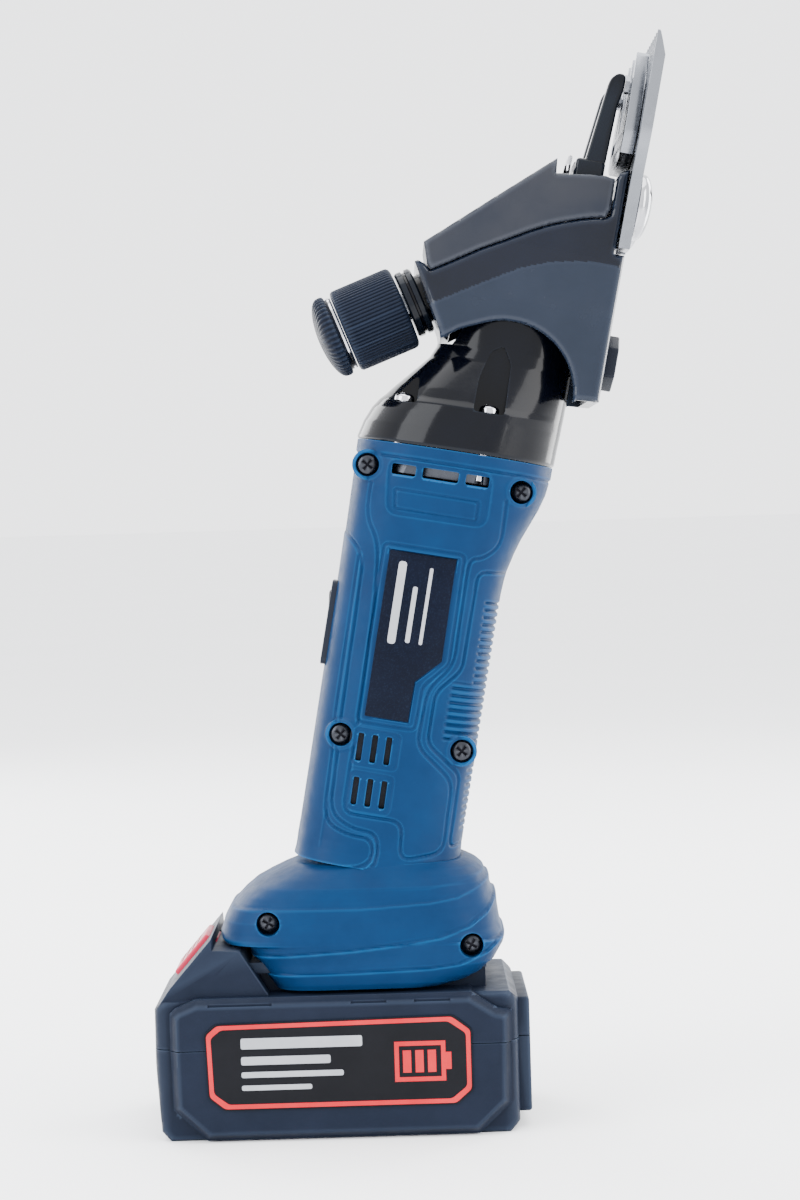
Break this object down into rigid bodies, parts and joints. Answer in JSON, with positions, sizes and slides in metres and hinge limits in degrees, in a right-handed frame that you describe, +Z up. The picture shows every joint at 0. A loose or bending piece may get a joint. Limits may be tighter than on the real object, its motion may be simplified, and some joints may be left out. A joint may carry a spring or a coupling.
{
  "type": "cordless sheep clipper",
  "caption": "Cordless sheep shearing handpiece with comb, oscillating cutter, tension knob, rocker switch and a slide-off battery.",
  "frame": {"origin": "middle of the battery's underside, the face the clipper stands on, at the centre of the bounding box's bottom", "axes": "+Z up from the battery to the comb; +X towards the comb's outer face, the side the head leans to; +Y across the comb, the narrow way"},
  "size_m": [0.1688, 0.0764, 0.3434],
  "materials": {
    "blue_plastic": "fine moulded texture, matte blue",
    "black_paint": "gloss black paint",
    "black_satin": "satin black",
    "navy_plastic": "matte navy-black plastic",
    "grey_plastic": "matte slate-grey plastic",
    "red_plastic": "satin crimson plastic",
    "ground_steel": "ground steel",
    "dark_steel": "blackened steel",
    "chrome": "polished bright metal",
    "green_board": "coated circuit board",
    "label_film": "printed film, satin",
    "cell_wrap": "shrink film"
  },
  "bodies": {
    "housing": {"housing_front": "blue_plastic", "housing_back": "blue_plastic", "housing_screw_1": "dark_steel", "housing_screw_2": "dark_steel", "housing_screw_3": "dark_steel", "housing_screw_4": "dark_steel", "housing_screw_5": "dark_steel", "housing_screw_6": "dark_steel", "nameplate_front": "label_film", "nameplate_back": "label_film", "switch_frame": "black_satin", "motor_can": "dark_steel", "gear_plate": "ground_steel", "control_board": "green_board", "tool_terminal_block": "navy_plastic", "gear_housing": "black_paint", "crank_bearing_rear": "chrome", "crank_bearing_front": "chrome", "head_screw_1": "chrome", "head_screw_2": "chrome", "head_screw_3": "chrome", "head_screw_4": "chrome", "head_casting": "black_paint", "top_cover": "black_satin", "comb": "ground_steel", "comb_screw_1": "chrome", "comb_screw_2": "chrome", "fulcrum_post": "ground_steel", "fulcrum_nut": "black_satin", "tension_sleeve": "black_satin"},
    "rotor": {"rotor": "ground_steel", "cooling_fan": "black_satin", "pinion": "ground_steel"},
    "crank": {"crank_shaft": "ground_steel", "crank_gear": "ground_steel", "crank_roller": "chrome"},
    "fork": {"fork": "black_paint", "fork_tip_left": "ground_steel", "fork_tip_right": "ground_steel", "fork_spring": "chrome", "cutter": "ground_steel"},
    "tension_rod": {"tension_rod": "ground_steel"},
    "tension_knob": {"tension_knob": "navy_plastic", "tension_lock_cap": "navy_plastic"},
    "tension_pin": {"tension_pin": "ground_steel"},
    "switch_rocker": {"switch_rocker": "black_satin"},
    "battery": {"battery_lower_case": "grey_plastic", "battery_upper_case": "grey_plastic", "cell_pack": "cell_wrap", "battery_terminal_block": "navy_plastic", "battery_label_front": "label_film", "battery_label_back": "label_film", "latch_spring": "chrome", "battery_screw_1": "dark_steel", "battery_screw_2": "dark_steel", "battery_screw_3": "dark_steel", "battery_screw_4": "dark_steel"},
    "release_button": {"release_button": "red_plastic"}
  },
  "joints": [
    {"name": "rotor_spin", "type": "hinge", "parent": "housing", "child": "rotor", "pos_m": [0.01158, 0, 0.21539], "axis": [0.1822, 0, 0.9833], "continuous": true},
    {"name": "crank_spin", "type": "hinge", "parent": "housing", "child": "crank", "pos_m": [0.02744, 0, 0.21245], "axis": [0.1822, 0, 0.9833], "continuous": true},
    {"name": "fork_swing", "type": "hinge", "parent": "housing", "child": "fork", "pos_m": [0.06456, 0, 0.24277], "axis": [-0.9799, 0, 0.1994], "range_deg": [-4.5, 4.5]},
    {"name": "tension_slide", "type": "slide", "parent": "housing", "child": "tension_rod", "axis": [-0.9317, 0, -0.3633], "range_m": [0, 0.0045]},
    {"name": "knob_turn", "type": "hinge", "parent": "tension_rod", "child": "tension_knob", "pos_m": [0.0014, 0, 0.2626], "axis": [0.9317, 0, 0.3633], "range_deg": [0, 1080]},
    {"name": "tension_pin_tilt", "type": "hinge", "parent": "tension_rod", "child": "tension_pin", "pos_m": [0.02991, 0, 0.27371], "axis": [-0.3633, 0, 0.9317], "range_deg": [-6.9, 6.9]},
    {"name": "switch_rock", "type": "hinge", "parent": "housing", "child": "switch_rocker", "pos_m": [-0.02383, 0, 0.16093], "axis": [0, 1, 0], "range_deg": [0, 14]},
    {"name": "battery_slide", "type": "slide", "parent": "housing", "child": "battery", "axis": [-1, 0, 0], "range_m": [0, 0.08]},
    {"name": "release_press", "type": "slide", "parent": "battery", "child": "release_button", "axis": [0.7529, 0, -0.6582], "range_m": [0, 0.0035], "stiffness_N_per_m": 1200, "springref_m": -0.002}
  ],
  "couplings": [
    {"joint": "crank_spin", "follows": "rotor_spin", "ratio": -0.34375},
    {"joint": "knob_turn", "follows": "tension_slide", "rad_per_m": 4188.8},
    {"joint": "tension_pin_tilt", "follows": "fork_swing", "ratio": 1.5}
  ]
}
